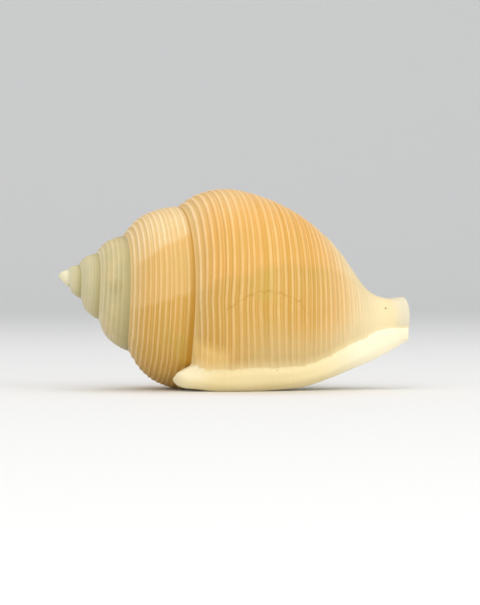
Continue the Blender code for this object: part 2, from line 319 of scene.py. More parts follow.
def shield(turn, place):
    """Height of the shield beside the mouth."""
    edge = shield_edge(place)
    height = through(SHIELD_POINT, SHIELD_HEIGHT, np.maximum(place, SHIELD_POINT[0]))
    inside = ease((turn - (MOUTH - 1.14)) / 0.14)
    climb = 0.45 + 0.55 * ease((turn - (MOUTH - 1)) / np.maximum(edge - (MOUTH - 1), 0.01))
    return height * inside * climb * (1 - ease((turn - edge) / 0.025))


def folds(turn, place):
    """Low folds that wind up the inner side of the mouth."""
    where = ease((place - 4.9) / 0.4) * (1 - ease((place - 6.6) / 0.5))
    length = ease((turn + 0.95) / 0.15) * (1 - ease((turn + 0.56) / 0.06))
    return 0.16 * np.cos(2 * math.pi * place / 0.42) * where * length


def skin(turn, place):
    """The outer surface in the half-plane, with the lip band and lobe, shield and folds."""
    relief = lip_band(turn, place) + shield(turn, place) + folds(turn, place)
    points = profile(turn, place) + outward(turn, place) * relief[..., None]
    points[..., 0] -= 0.75 * LOBE * lobe(place) * ease((turn - MOUTH) / LOBE_TURNS + 1)
    return points


def set_in_space(points, turn):
    """Points of the half-plane at a turn, in mm in the row frame."""
    angle = 2 * math.pi * np.asarray(turn)
    axial, radius = points[..., 0], points[..., 1]
    bend = ease((axial - BEND_FROM) / (BEND_TO - BEND_FROM))
    up = radius * np.cos(angle) + BEND_UP * bend
    far = -radius * np.sin(angle) + BEND_FAR * bend
    return np.stack([axial * math.cos(AXIS_DIP) + up * math.sin(AXIS_DIP), far,
                     up * math.cos(AXIS_DIP) - axial * math.sin(AXIS_DIP)],
                    axis=-1) + np.array(APEX)


class Surface:
    """Vertices, their places on the growing shell, and faces, for one closed mesh."""

    def __init__(self):
        self.points, self.turns, self.places, self.depths = [], [], [], []
        self.faces = []
        self.count = 0

    def add(self, points, turn, place, depth=-1.0):
        """Vertices with their turn, profile place and depth behind the mouth."""
        points = np.atleast_2d(points)
        size = len(points)
        self.points.append(points)
        for kept, value in ((self.turns, turn), (self.places, place), (self.depths, depth)):
            kept.append(np.broadcast_to(np.asarray(value, float), (size,)))
        first = self.count
        self.count += size
        return np.arange(first, first + size)

    def corners(self, quads):
        """Quads as they are; those with two equal corners as triangles."""
        quads = np.asarray(quads)
        same = quads == np.roll(quads, 1, axis=1)
        whole = ~same.any(axis=1)
        self.faces.extend(quads[whole].tolist())
        for quad, flags in zip(quads[~whole], same[~whole]):
            kept = quad[~flags].tolist()
            if len(kept) == 3:
                self.faces.append(kept)

    def sheet(self, rows):
        """Quads between rows that have the same number of vertices."""
        for low, high in zip(rows, rows[1:]):
            low, high = np.asarray(low), np.asarray(high)
            self.corners(np.stack([low[:-1], low[1:], high[1:], high[:-1]], axis=1))

    def strip(self, first, second):
        """Triangles between two runs of vertices that may differ in number."""
        every = np.concatenate(self.points)

        def shares(run):
            steps = np.linalg.norm(np.diff(every[run], axis=0), axis=1)
            return np.concatenate([[0], np.cumsum(steps) / max(steps.sum(), 1e-9)])
        a, b, sa, sb = 0, 0, shares(first), shares(second)
        while a < len(first) - 1 or b < len(second) - 1:
            ahead = b == len(second) - 1 or (a < len(first) - 1
                                             and sa[a] + sa[a + 1] < sb[b] + sb[b + 1])
            if ahead:
                face = [first[a], first[a + 1], second[b]]
                a += 1
            else:
                face = [first[a], second[b + 1], second[b]]
                b += 1
            if len(set(face)) == 3:
                self.faces.append([int(c) for c in face])


def cord_places():
    """Profile places with the same number of columns across every cord."""
    cords = np.arange(CORDS * SAMPLES_PER_CORD + 1) / SAMPLES_PER_CORD
    fine = np.linspace(0, LAST, 2000)
    return np.interp(cords, through(np.arange(LAST + 1), CORDS_AT, fine), fine)


def row_turns():
    """Turns of the rows from apex to mouth, the same in every whorl, closer at the lip."""
    close = np.linspace(0, 0.064, 15)
    rest = np.linspace(close[-1], 1, ROWS - len(close) + 2)[1:-1]
    back = np.concatenate([close, rest])
    whole = np.concatenate([back + w for w in range(WHORLS)] + [[WHORLS]])
    return MOUTH - whole[::-1]


def outer_rows(surface):
    """The outside from apex to lip; each whorl shares its first column with the last one."""
    turns = row_turns()
    places = cord_places()
    joined = CORDS_ABOVE * SAMPLES_PER_CORD
    places[joined] = JOINED
    coarse = places[:joined + 1:2]
    rows = []
    for i, turn in enumerate(turns):
        last_whorl = i >= len(turns) - 1 - ROWS
        small = i < len(turns) - 1 - 3 * ROWS
        here = places if last_whorl else (coarse if small else places[:joined + 1])
        points = set_in_space(skin(turn, here), turn)
        if i >= ROWS:
            before = rows[i - ROWS]
            shared = before[joined // 2 if len(before) <= joined // 2 + 1 else joined]
            rows.append(np.concatenate([[shared], surface.add(points[1:], turn, here[1:])]))
        else:
            rows.append(surface.add(points, turn, here))
    for i in range(len(rows) - 1):
        low, high = rows[i], rows[i + 1]
        if len(low) == len(high):
            surface.sheet([low, high])
        elif len(low) < len(high) and i < len(turns) - 1 - 2 * ROWS:
            surface.strip(low, high)
        else:
            surface.sheet([low, high[:len(low)]])
    close_apex(surface, turns, rows, coarse)
    return turns, places, rows


def close_apex(surface, turns, rows, places):
    """A blunt dome over the first whorl."""
    loop = np.concatenate([rows[0][::-1], [row[0] for row in rows[1:ROWS]]])
    start = [(turns[0], p) for p in places[::-1]] + [(turn, 0.0) for turn in turns[1:ROWS]]
    rings = [loop]
    for along, out in DOME_RINGS:
        ring = []
        for turn, place in start:
            axial, radius = skin(turn, np.array(place))
            ring.append(set_in_space(np.array([along * axial, out * radius]), turn))
        rings.append(surface.add(np.array(ring), turns[0], 0.0))
    closed = [np.concatenate([ring, ring[:1]]) for ring in rings]
    surface.sheet(closed)
    tip = surface.add(set_in_space(np.array([[0.0, 0.0]]), 0.0), turns[0], 0.0)[0]
    for a, b in zip(closed[-1], closed[-1][1:]):
        surface.faces.append([int(a), int(b), int(tip)])


def rim_row(angle, places):
    """Points over the rounded edge of the lip, from outside (0) to inside (pi)."""
    base, out = profile(MOUTH, places), outward(MOUTH, places)
    above = lip_band(MOUTH, places)
    below = LIP_INSIDE * ease(places / 0.6) * (1 - 0.5 * ease((places - 5) / 3))
    half = (above + below) / 2
    cords = through(np.arange(LAST + 1), CORDS_AT, places)
    notch = 0.05 * np.cos(2 * math.pi * cords) * ease(places - 3)
    notch = notch + waves(cords, *LIP_EDGE)
    points = base + out * ((above - below) / 2 + half * math.cos(angle))[:, None]
    lap = (0.75 + 0.25 * ease(angle / 0.9)) * (1 - ease((angle - 1.7) / 1.3))
    points[:, 0] -= LOBE * lap * lobe(places)
    forward = ((0.85 + 1.1 * lobe(places)) * half + notch) * math.sin(angle)
    forward = forward / (2 * math.pi * points[:, 1])
    return set_in_space(points, MOUTH + forward), MOUTH + forward


def inner_place(place):
    """Where the outer wall stands across from a place on the inner wall."""
    return through((3, 4, 5, 6, 7, 8), (0, 1.45, 2.5, 3.95, 5.3, 8), place)


def hollow_rows(depth):
    """Outer and inner wall of the hollow at a depth from 0 (mouth) to 1 (closed)."""
    share = np.linspace(0, 1, HOLLOW_COLUMNS + 1)
    corner = JOINED + 0.22 * ease(depth / 0.1)
    place = corner + (LAST - corner) * share
    across = inner_place(place)
    turns_back = HOLLOW_TURNS + (CANAL_TURNS - HOLLOW_TURNS) * ease((place - 5.2) / 2.8)
    thick = WALL + (LIP_INSIDE - WALL) * (1 - ease(depth / 0.12))
    thick = thick * (1 - 0.5 * ease((across - 5) / 3) * (1 - ease(depth / 0.2)))
    outer, inner = [], []
    for p, a, back, wall in zip(place, across, turns_back * depth, thick):
        outer.append(profile(MOUTH - back, a) - outward(MOUTH - back, a) * wall)
        inner.append(skin(MOUTH - 1 - back, np.array(p)))
    outer, inner = np.array(outer), np.array(inner)
    fade = 1 - ease((across - across[0]) / 0.9)
    outer += fade[:, None] * (inner[0] - outer[0])
    gap = math.sqrt(max(0.0, 1 - max(0.0, (depth - 0.5) / 0.5) ** 2))
    middle = (outer + inner) / 2
    turn = MOUTH - turns_back * depth
    return (set_in_space(middle + (outer - middle) * gap, turn),
            set_in_space(middle + (inner - middle) * gap, turn), turn, place, across)


def build_surface():
    """The whole shell as one closed surface, without its cords."""
    surface = Surface()
    turns, places, rows = outer_rows(surface)
    joined = CORDS_ABOVE * SAMPLES_PER_CORD
    lip, start_of_last = rows[-1], rows[-1 - ROWS]
    corner = lip[0]

    rim = [lip]
    for k in range(1, RIM_STEPS):
        points, turn = rim_row(math.pi * k / RIM_STEPS, places)
        new = surface.add(points[1:], turn[1:], places[1:], 0.0)
        rim.append(np.concatenate([[corner], new]))
    surface.sheet(rim)

    depths = np.linspace(0, 1, HOLLOW_ROWS) ** 1.15
    outer_wall, inner_wall = [], [start_of_last[joined:]]
    edge = inner_place(np.linspace(JOINED, LAST, HOLLOW_COLUMNS + 1))
    points, turn = rim_row(math.pi, edge)
    new = surface.add(points[1:], turn[1:], edge[1:], 0.0)
    outer_wall.append(np.concatenate([[corner], new]))
    for depth in depths[1:]:
        outer, inner, turn, place, across = hollow_rows(depth)
        inner_wall.append(surface.add(inner, turn - 1, place, depth))
        if depth == 1:
            outer_wall.append(inner_wall[-1])
        else:
            new = surface.add(outer[1:], turn[1:], across[1:], depth)
            outer_wall.append(np.concatenate([inner_wall[-1][:1], new]))
    surface.strip(rim[-1], outer_wall[0])
    surface.strip(inner_wall[1], inner_wall[0])
    surface.sheet(outer_wall[:-1])
    surface.sheet(inner_wall[:0:-1])
    low, high = outer_wall[-2], outer_wall[-1]
    for j in range(len(low) - 1):
        surface.faces.append([int(low[j]), int(low[j + 1]), int(high[j])])
        surface.faces.append([int(low[j + 1]), int(high[j + 1]), int(high[j])])

    last_turns = turns[-1 - ROWS:]
    split = int(np.argmin(np.abs(last_turns - (MOUTH - CANAL_TURNS))))
    rim_of_end = np.array([row[-1] for row in rows[-1 - ROWS:]])
    inner_end = np.array([row[-1] for row in inner_wall])
    outer_end = np.array([row[-1] for row in outer_wall[::-1]])
    surface.strip(inner_end, rim_of_end[:split + 1])
    surface.strip(outer_end, np.concatenate([rim_of_end[split:], [r[-1] for r in rim[1:]],
                                             [outer_wall[0][-1]]]))
    return surface


def scatter(index, seed):
    """A repeatable number from 0 to 1 for each whole index."""
    value = np.sin(index * 12.9898 + seed * 78.233) * 43758.5453
    return value - np.floor(value)


def cord_number(turn, place):
    """How many cords lie between the suture and a place, unevenly spaced as on a real shell."""
    cord = through(np.arange(LAST + 1), CORDS_AT, place)
    hang = np.sin(2 * math.pi * np.maximum(turn - HANG_FROM, 0)) / HANG_REACH
    cord = cord - hang * np.interp(place, HANG_PLACE, HANG_CORDS)
    return cord + waves(cord, *CORD_SPACING) * ease(cord / 6)


def glazed_edges(turn, place):
    """How far inside the shield's edge and the lip band's edge a place is, in edge widths."""
    beside_mouth = (turn >= MOUTH - 1 - 1e-6) & (place > 2.6)
    in_shield = np.minimum((shield_edge(place) + 0.015 - turn) / 0.01, (place - 2.8) / 0.1)
    width = np.interp(place, LIP_POINT, LIP_WIDTH)
    in_band = (turn - (MOUTH - width) - waves(place, *BAND_EDGE)) / 0.01
    return np.where(beside_mouth, in_shield, -6.0), in_band


def suture_line_and_shade(turn, place, outside):
    """Share of the suture's dark line, and of painted shade in the crease beside it, on the whorl
    that the next one leans on.
    """
    beyond = JOINED - place
    # The wide part is painted shade in the suture's crease; the narrow part is the dark line itself.
    wide = 1 - ease((beyond - 0.05) / (0.24 + 0.2 * ease((turn + 0.75) / 0.15)))
    wide = np.where((turn < MOUTH - 1 + 0.001) & outside & (place <= JOINED), wide, 0.0)
    wide = wide * (0.3 + 0.7 * ease((turn + 0.92) / 0.2) + 0.4 * (1 - ease((turn - GREY_TO) / 0.25)))
    narrow = np.where(wide > 0, 1 - ease((beyond - 0.03) / 0.1), 0.0)
    return np.maximum(wide, narrow)


def growth_facts(surface):
    """What the relief and the colour need to know at every vertex."""
    turn = np.concatenate(surface.turns)
    place = np.concatenate(surface.places)
    depth = np.concatenate(surface.depths)
    along = np.concatenate(surface.points)[:, 0]
    outside = depth < 0
    skin_only = np.where(outside, 1.0, 0.0)

    cord = cord_number(turn, place)
    slant = SLANT + SLANT_MORE * (1 - ease((turn + 0.45) / 0.3))
    growth = turn + slant * place + 0.0016 * np.cos(2 * math.pi * cord)
    shield_in, band_in = glazed_edges(turn, place)
    glazed = np.where(outside, np.maximum(shield_in, band_in), 6.0)

    size = np.clip((turn + 4.6) / 4.6, 0.12, 1.0) * (0.5 + 0.5 * ease((turn + 1.45) / 0.3))
    relief = size * (1 - ease((place - 4.9) / 1.3)) * ease(place / 0.12) * skin_only
    relief = relief * (1 - 0.9 * ease(band_in + 0.5)) * (1 - ease(shield_in / 0.6))

    on_scar = (place > SCAR_PLACE[0] - 0.05) & (place < SCAR_PLACE[-1] + 0.05) & (turn > 0.1)
    middle = np.interp(place, SCAR_PLACE, SCAR_TURN) + waves(place, *CRACK_EDGE)
    from_scar = (turn - middle) / 0.001
    broken = np.clip(0.75 + 0.45 * waves(place, (0.5, 1, 0.4)), 0, 1)

    width = np.interp(place, LIP_POINT, LIP_WIDTH)
    near_lip = ease((turn - (MOUTH - width - 0.10)) / 0.09) * ease((place - 1.0) / 2.4)
    lip_tone = 0.55 * (1 - ease((place - 0.4) / 1.2)) + 0.1 + 0.85 * ease((place - 4.0) / 1.6)
    # Painted shade on the older whorls, darker toward the next suture where the crease is.
    painted_suture_shade = np.where(outside & (turn < MOUTH - 1), 1 - ease((JOINED - place) / 1.3), 0.0)
    weakest = 0.6 + 0.25 * (1 - ease((place - 0.8) / 0.6))
    fresh = ease((turn - FRESH_FROM) / 0.008) * (1 - ease((place - 1.5) / 0.5))
    return {
        "cord": cord,
        "growth": growth,
        "relief": relief,
        "fading": 1 - ease((turn - FADED_TO) / 0.35),
        "strong": weakest + (1 - weakest) * scatter(np.round(cord), 1),
        "wide": scatter(np.round(cord), 5),
        "thread": np.where(place > 0.2, scatter(np.floor(cord), 2), 0.0),
        "glazed": np.clip(glazed, -6, 6),
        "shoulder": skin_only * np.exp(-(place / 0.6) ** 2) * (1 - 0.8 * fresh),
        "fresh": fresh,
        "to_canal": skin_only * ease((place - 3.9) / 2.4),
        "to_end": ease((place - 6.9) / 0.9),
        "grey": 1 - ease((turn - GREY_TO) / 0.25),
        "tip": 1 - ease((along + 36.4) / 2.4),
        "painted_suture_shade": painted_suture_shade,
        "seam": suture_line_and_shade(turn, place, outside),
        "near_lip": near_lip,
        "from_scar": np.clip(from_scar, -30, 30),
        "scarred": np.where(on_scar & outside, broken, 0.0),
        "lip_tone": np.clip(lip_tone, 0, 1),
        "inside": np.where(depth > 0, np.clip(depth, 0, 1), 0.0),
    }


def plain_mesh(obj, name):
    """The object with its modifiers carried out, as a plain mesh object."""
    depsgraph = bpy.context.evaluated_depsgraph_get()
    mesh = bpy.data.meshes.new_from_object(obj.evaluated_get(depsgraph))
    obj.modifiers.clear()
    base = obj.data
    obj.data = mesh
    bpy.data.meshes.remove(base)
    mesh.name = name
    return obj


def tree_with(name, inputs):
    """An empty geometry tree with named inputs and one geometry output."""
    tree = bpy.data.node_groups.new(name, "GeometryNodeTree")
    tree.interface.new_socket("Geometry", in_out="INPUT", socket_type="NodeSocketGeometry")
    for label, kind, value in inputs:
        socket = tree.interface.new_socket(label, in_out="INPUT", socket_type=kind)
        if value is not None:
            socket.default_value = value
    tree.interface.new_socket("Geometry", in_out="OUTPUT", socket_type="NodeSocketGeometry")
    return tree, tree.nodes.new("NodeGroupInput"), tree.nodes.new("NodeGroupOutput")


def set_inputs(modifier, values):
    """Give a tree's inputs their values by the sockets' identifiers."""
    for item in modifier.node_group.interface.items_tree:
        if item.item_type == "SOCKET" and item.in_out == "INPUT" and item.name in values:
            modifier[item.identifier] = values[item.name]


class Wiring:
    """Short ways to add and join nodes."""

    def __init__(self, tree):
        self.tree = tree

    def node(self, kind, **settings):
        """A new node with its settings."""
        node = self.tree.nodes.new(kind)
        for key, value in settings.items():
            setattr(node, key, value)
        return node

    def join(self, source, target):
        """A link between two sockets."""
        self.tree.links.new(source, target)

    def fill(self, socket, value):
        """A link from a socket, or a plain value."""
        if isinstance(value, bpy.types.NodeSocket):
            self.join(value, socket)
        else:
            socket.default_value = value

    def maths(self, operation, *values, clamp=False):
        """The result of one operation on numbers."""
        node = self.node("ShaderNodeMath", operation=operation, use_clamp=clamp)
        for socket, value in zip(node.inputs, values):
            self.fill(socket, value)
        return node.outputs[0]

    def mix(self, share, first, second):
        """The first colour with a share of the second in it."""
        node = self.node("ShaderNodeMix", data_type="RGBA")
        self.fill(node.inputs["Factor"], share)
        for socket, value in ((node.inputs[6], first), (node.inputs[7], second)):
            if isinstance(value, bpy.types.NodeSocket):
                self.join(value, socket)
            else:
                socket.default_value = (*value[:3], 1.0)
        return node.outputs[2]

    def between(self, value, start, end):
        """Smooth step from 0 at start to 1 at end."""
        ramp = self.node("ShaderNodeMapRange", interpolation_type="SMOOTHSTEP")
        low, high, flip = start, end, False
        if not isinstance(start, bpy.types.NodeSocket) and start > end:
            low, high, flip = end, start, True
        self.join(value, ramp.inputs["Value"])
        self.fill(ramp.inputs["From Min"], low)
        self.fill(ramp.inputs["From Max"], high)
        if flip:
            ramp.inputs["To Min"].default_value, ramp.inputs["To Max"].default_value = 1.0, 0.0
        return ramp.outputs[0]

    def fact(self, name):
        """A number that the surface has at every vertex."""
        return self.node("ShaderNodeAttribute", attribute_name=name).outputs["Fac"]

    def noise(self, scale, detail, vector=None):
        """Noise from 0 to 1, on the object's coordinates or on another vector."""
        node = self.node("ShaderNodeTexNoise")
        node.inputs["Scale"].default_value = scale
        node.inputs["Detail"].default_value = detail
        if vector is None:
            vector = self.node("ShaderNodeTexCoord").outputs["Object"]
        self.join(vector, node.inputs["Vector"])
        return node.outputs["Fac"]

    def along_growth(self, per_turn, per_cord):
        """A vector that runs with the growth and across the cords."""
        place = self.node("ShaderNodeCombineXYZ")
        self.join(self.maths("MULTIPLY", self.fact("growth"), per_turn), place.inputs[0])
        self.join(self.maths("MULTIPLY", self.fact("cord"), per_cord), place.inputs[1])
        return place.outputs[0]


def cord_tree():
    """Raises rounded spiral cords along the normals, every other one fading to the apex."""
    tree, start, end = tree_with("spiral cords", (
        ("Cord height", "NodeSocketFloat", 0.00016),
        ("Growth ripple", "NodeSocketFloat", 0.00002),
        ("Material", "NodeSocketMaterial", None)))
    w = Wiring(tree)

    def named(name):
        node = w.node("GeometryNodeInputNamedAttribute", data_type="FLOAT")
        node.inputs["Name"].default_value = name
        return node.outputs["Attribute"]

    def ridge(phase):
        wave = w.maths("COSINE", w.maths("MULTIPLY", phase, 2 * math.pi))
        return w.maths("POWER", w.maths("MULTIPLY_ADD", wave, 0.5, 0.5), 1.2)
    cord = named("cord")
    every = w.maths("MULTIPLY", ridge(cord), named("strong"))
    alternate = ridge(w.maths("MULTIPLY", cord, 0.5))
    fading = named("fading")
    mixed = w.maths("ADD", w.maths("MULTIPLY", every, w.maths("SUBTRACT", 1.0, fading)),
                    w.maths("MULTIPLY", alternate, fading))
    relief = named("relief")
    height = w.maths("MULTIPLY", w.maths("MULTIPLY", mixed, relief),
                     start.outputs["Cord height"])
    ripple = w.maths("SINE", w.maths("MULTIPLY", named("growth"), 2 * math.pi * RIPPLES_PER_TURN))
    ripple = w.maths("MULTIPLY", w.maths("MULTIPLY", ripple, relief),
                     start.outputs["Growth ripple"])
    offset = w.node("ShaderNodeVectorMath", operation="SCALE")
    w.join(w.node("GeometryNodeInputNormal").outputs[0], offset.inputs[0])
    w.join(w.maths("ADD", height, ripple), offset.inputs["Scale"])
    move = w.node("GeometryNodeSetPosition")
    w.join(start.outputs["Geometry"], move.inputs["Geometry"])
    w.join(offset.outputs[0], move.inputs["Offset"])
    real = w.node("GeometryNodeRealizeInstances")
    w.join(move.outputs[0], real.inputs[0])
    paint = w.node("GeometryNodeSetMaterial")
    w.join(real.outputs[0], paint.inputs["Geometry"])
    w.join(start.outputs["Material"], paint.inputs["Material"])
    w.join(paint.outputs[0], end.inputs["Geometry"])
    return tree


def new_material(name):
    """An empty material with its wiring and its shader."""
    material = bpy.data.materials.new(name)
    material.use_nodes = True
    material.node_tree.nodes.clear()
    w = Wiring(material.node_tree)
    out = w.node("ShaderNodeOutputMaterial")
    bsdf = w.node("ShaderNodeBsdfPrincipled")
    w.join(bsdf.outputs[0], out.inputs["Surface"])
    return material, w, bsdf


def close_to(w, spot, start, end):
    """Smooth step from 0 to 1 in space, from start to end radii off a spot's middle."""
    turn, place, radius = spot
    away = w.node("ShaderNodeVectorMath", operation="DISTANCE")
    w.join(w.node("ShaderNodeTexCoord").outputs["Object"], away.inputs[0])
    away.inputs[1].default_value = set_in_space(skin(np.array(turn), np.array(place)), turn) * MM
    return w.between(away.outputs["Value"], start * radius * MM, end * radius * MM)


def cord_lines(w):
    """The pale cord tops, and the fine threads in the grooves between them."""
    cord, fading = w.fact("cord"), w.fact("fading")

    def ridge(phase, start, end):
        return w.between(w.maths("COSINE", w.maths("MULTIPLY", phase, 2 * math.pi)), start, end)
    start = w.maths("MULTIPLY_ADD", w.fact("wide"), -0.75, 0.15)
    every = w.maths("MULTIPLY", ridge(cord, start, 0.9), w.fact("strong"))
    broken = w.noise(1.0, 3.0, w.along_growth(24.0, 1.7))
    every = w.maths("MULTIPLY", every, w.maths("MULTIPLY_ADD", broken, 1.1, 0.45), clamp=True)
    thread = w.maths("MULTIPLY", ridge(w.maths("ADD", cord, 0.5), 0.45, 1.0), w.fact("thread"))
    alternate = ridge(w.maths("MULTIPLY", cord, 0.5), 0.0, 0.9)
    both = w.maths("ADD", every, w.maths("MULTIPLY", thread, 0.5))
    top = w.maths("ADD", w.maths("MULTIPLY", both, w.maths("SUBTRACT", 1.0, fading)),
                  w.maths("MULTIPLY", alternate, fading))
    return top, thread


def growth_tone(w, late, cord_noise):
    """How pale the skin is by its growth, from ochre (0) over orange to cream (1)."""
    history = w.node("ShaderNodeValToRGB")
    first, span = GROWTH_AT[0], GROWTH_AT[-1] - GROWTH_AT[0]
    stops = history.color_ramp.elements
    while len(stops) < len(GROWTH_AT):
        stops.new(0.5)
    for stop, at, tone in zip(stops, GROWTH_AT, GROWTH_TONE):
        stop.position = (at - first) / span
        stop.color = (tone, tone, tone, 1.0)
    w.join(w.maths("MULTIPLY_ADD", late, 1 / span, -first / span), history.inputs["Fac"])
    pale = w.maths("ADD", history.outputs["Color"], w.maths("MULTIPLY_ADD", cord_noise, 0.4, -0.2))
    return w.maths("ADD", pale, w.maths("MULTIPLY", w.fact("to_canal"), 0.9), clamp=True)


def whorl_colour(w, paint, top, growth_noise, cord_noise):
    """The two large whorls: cords and grooves in the colours of their growth zones."""
    late = w.maths("ADD", w.fact("growth"), w.maths("MULTIPLY_ADD", cord_noise, 0.024, -0.012))
    pale = growth_tone(w, late, cord_noise)

    def by_tone(ochre, orange, cream):
        ramp = w.node("ShaderNodeValToRGB")
        ramp.color_ramp.elements.new(0.5)
        for element, value in zip(ramp.color_ramp.elements, (ochre, orange, cream)):
            element.color = (*value, 1.0)
        w.join(pale, ramp.inputs["Fac"])
        return ramp.outputs["Color"]
    colour = w.mix(top, by_tone(paint.groove_ochre, paint.groove_orange, paint.groove_cream),
                   by_tone(paint.cord_ochre, paint.cord_orange, paint.cord_cream))
    shoulder = w.mix(top, paint.groove_cream, paint.cord_cream)
    colour = w.mix(w.maths("MULTIPLY", w.fact("shoulder"), SHOULDER_SHARE), colour, shoulder)
    colour = w.mix(w.maths("MULTIPLY", w.fact("fresh"), FRESH_SHARE), colour, paint.fresh)
    moss = w.between(w.noise(*MOSS_PATCHES), 0.5, 0.7)
    moss = w.maths("MULTIPLY", moss, w.maths("MULTIPLY_ADD", pale, -0.45, 0.3, clamp=True))
    colour = w.mix(moss, colour, paint.moss)
    lines = w.maths("MULTIPLY_ADD", growth_noise, 1.4, -0.55, clamp=True)
    colour = w.mix(w.maths("MULTIPLY", lines, GROWTH_LINE_SHARE), colour, paint.groove_ochre)
    dull = w.maths("MULTIPLY", w.between(late, *DULL_FROM), w.between(late, *DULL_TO))
    khaki = w.maths("MAXIMUM", w.fact("near_lip"), w.maths("MULTIPLY", dull, DULL_SHARE))
    return w.mix(w.maths("MULTIPLY", khaki, KHAKI_SHARE), colour, paint.near_lip)


def spire_colour(w, paint, top, cord_noise):
    """The grey-green small whorls, with patches, pale cords, painted shade toward each suture and a
    smudge.
    """
    patches = w.between(w.noise(*SPIRE_PATCHES), 0.38, 0.66)
    tone = w.mix(patches, paint.spire_grey, paint.spire_beige)
    light = w.maths("ADD", w.maths("MULTIPLY", top, 0.35), w.maths("MULTIPLY", cord_noise, 0.35))
    light = w.maths("ADD", light, w.maths("MULTIPLY", w.fact("shoulder"), 0.5), clamp=True)
    tone = w.mix(light, tone, paint.spire_pale)
    older = w.between(w.fact("growth"), *OLDER)
    tone = w.mix(w.maths("MULTIPLY", older, OLDER_SHARE), tone, paint.spire_old)
    # Painted shade, darker toward each next suture.
    tone = w.mix(w.maths("MULTIPLY", w.fact("painted_suture_shade"), PAINTED_SUTURE_SHADE_SHARE), tone, paint.spire_dark)
    smudge = w.maths("MULTIPLY", close_to(w, SMUDGE, 1.0, 0.2),
                     w.maths("MULTIPLY_ADD", top, -0.5, 0.7))
    return w.mix(smudge, tone, paint.spire_dark)


def canal_colour(w, paint):
    """Yellow cream with khaki clouds, whiter at the canal's end."""
    clouds = w.maths("MULTIPLY", w.between(w.noise(*CANAL_CLOUDS), 0.45, 0.72), 0.3)
    canal = w.mix(clouds, paint.canal, paint.near_lip)
    return w.mix(w.fact("to_end"), canal, paint.canal_end)


def lip_colour(w, paint):
    """Cream of lip and shield, darker toward the closed end of the hollow."""
    clouds = w.maths("MULTIPLY_ADD", w.noise(*LIP_CLOUDS), 0.6, -0.3)
    tone = w.maths("ADD", w.fact("lip_tone"), clouds, clamp=True)
    cream = w.mix(tone, paint.lip_yellow, paint.lip_white)
    return w.mix(w.maths("MULTIPLY", w.fact("inside"), HOLLOW_SHARE), cream, paint.hollow)


def fine_relief(w, growth_noise, thread, glaze, scar):
    """Growth lines, threads and grain, faint on the glaze, and sunk along the crack."""
    height = w.maths("ADD", w.maths("MULTIPLY", growth_noise, 0.5),
                     w.maths("MULTIPLY", w.noise(*GRAIN), 0.1))
    height = w.maths("ADD", height, w.maths("MULTIPLY", thread, 0.3))
    height = w.maths("MULTIPLY", height,
                     w.maths("SUBTRACT", 1.0, w.maths("MULTIPLY", glaze, 0.8)))
    height = w.maths("SUBTRACT", height, w.maths("MULTIPLY", scar, 0.6))
    bump = w.node("ShaderNodeBump")
    bump.inputs["Strength"].default_value = BUMP_STRENGTH
    bump.inputs["Distance"].default_value = BUMP_HEIGHT
    w.join(height, bump.inputs["Height"])
    return bump.outputs[0]


def shell_material(paint):
    """Cords, growth zones, grey spire, glazed lip and hollow, all read from the growth."""
    material, w, bsdf = new_material("shell skin")
    near_edge = w.maths("ADD", w.fact("glazed"),
                        w.maths("MULTIPLY_ADD", w.noise(*GLAZE_FRINGE), 0.5, -0.25))
    glaze = w.between(near_edge, -0.12, 0.25)
    top, thread = cord_lines(w)
    growth_noise = w.noise(1.0, 4.0, w.along_growth(70.0, 0.10))
    cord_noise = w.noise(1.3, 2.0, w.along_growth(5.0, 0.7))

    colour = whorl_colour(w, paint, top, growth_noise, cord_noise)
    colour = w.mix(w.fact("grey"), colour, spire_colour(w, paint, top, cord_noise))
    colour = w.mix(w.fact("tip"), colour, paint.tip)
    # The suture's dark line, with painted shade in the crease beside it; greyer on the spire.
    seam = w.mix(w.fact("grey"), paint.seam, paint.spire_dark)
    colour = w.mix(w.maths("MULTIPLY", w.fact("seam"), SUTURE_SHARE), colour, seam)

    off_scar = w.maths("DIVIDE", w.fact("from_scar"), 1.4)
    scar = w.maths("EXPONENT", w.maths("MULTIPLY", w.maths("MULTIPLY", off_scar, off_scar), -1.0))
    scar = w.maths("MULTIPLY", scar, w.fact("scarred"))
    colour = w.mix(w.maths("MULTIPLY", scar, CRACK_SHARE), colour, paint.seam)
    colour = w.mix(w.maths("MULTIPLY", w.fact("to_canal"), CANAL_SHARE), colour,
                   canal_colour(w, paint))
    glow = w.maths("MULTIPLY", w.between(near_edge, -2.2, 0.2), GLOW_SHARE)
    colour = w.mix(glow, colour, paint.lip_yellow)
    colour = w.mix(glaze, colour, lip_colour(w, paint))
    for spot in PINHOLES:
        hole = w.maths("MULTIPLY", close_to(w, spot, 1.2, 0.7), PINHOLE_SHARE)
        colour = w.mix(hole, colour, paint.pinhole)
    w.join(colour, bsdf.inputs["Base Color"])

    rough = w.maths("MULTIPLY_ADD", growth_noise, LINES_ROUGHER, ROUGHNESS)
    rough = w.maths("SUBTRACT", rough, w.maths("MULTIPLY", glaze, GLAZE_SMOOTHER))
    w.join(rough, bsdf.inputs["Roughness"])
    bsdf.inputs["Specular IOR Level"].default_value = SHINE
    bsdf.inputs["Coat Weight"].default_value = COAT
    bsdf.inputs["Coat Roughness"].default_value = COAT_ROUGHNESS
    w.join(fine_relief(w, growth_noise, thread, glaze, scar), bsdf.inputs["Normal"])
    return material


def colour_property(name, description, value):
    """A colour that the user can change."""
    return FloatVectorProperty(name=name, description=description, subtype="COLOR", size=3,
                               min=0.0, max=1.0, default=value)


class ShellSizes(PropertyGroup):
    """Sizes of the fine relief."""
    cord_height: FloatProperty(
        name="Cord height", description="How far the spiral cords stand up on the last whorl",
        default=0.21 * MM, min=0.0, max=MM, subtype="DISTANCE", unit="LENGTH", precision=5)
    growth_ripple: FloatProperty(
        name="Growth ripple", description="Height of the faint ripples across the cords",
        default=0.012 * MM, min=0.0, max=0.2 * MM, subtype="DISTANCE", unit="LENGTH",
        precision=5)


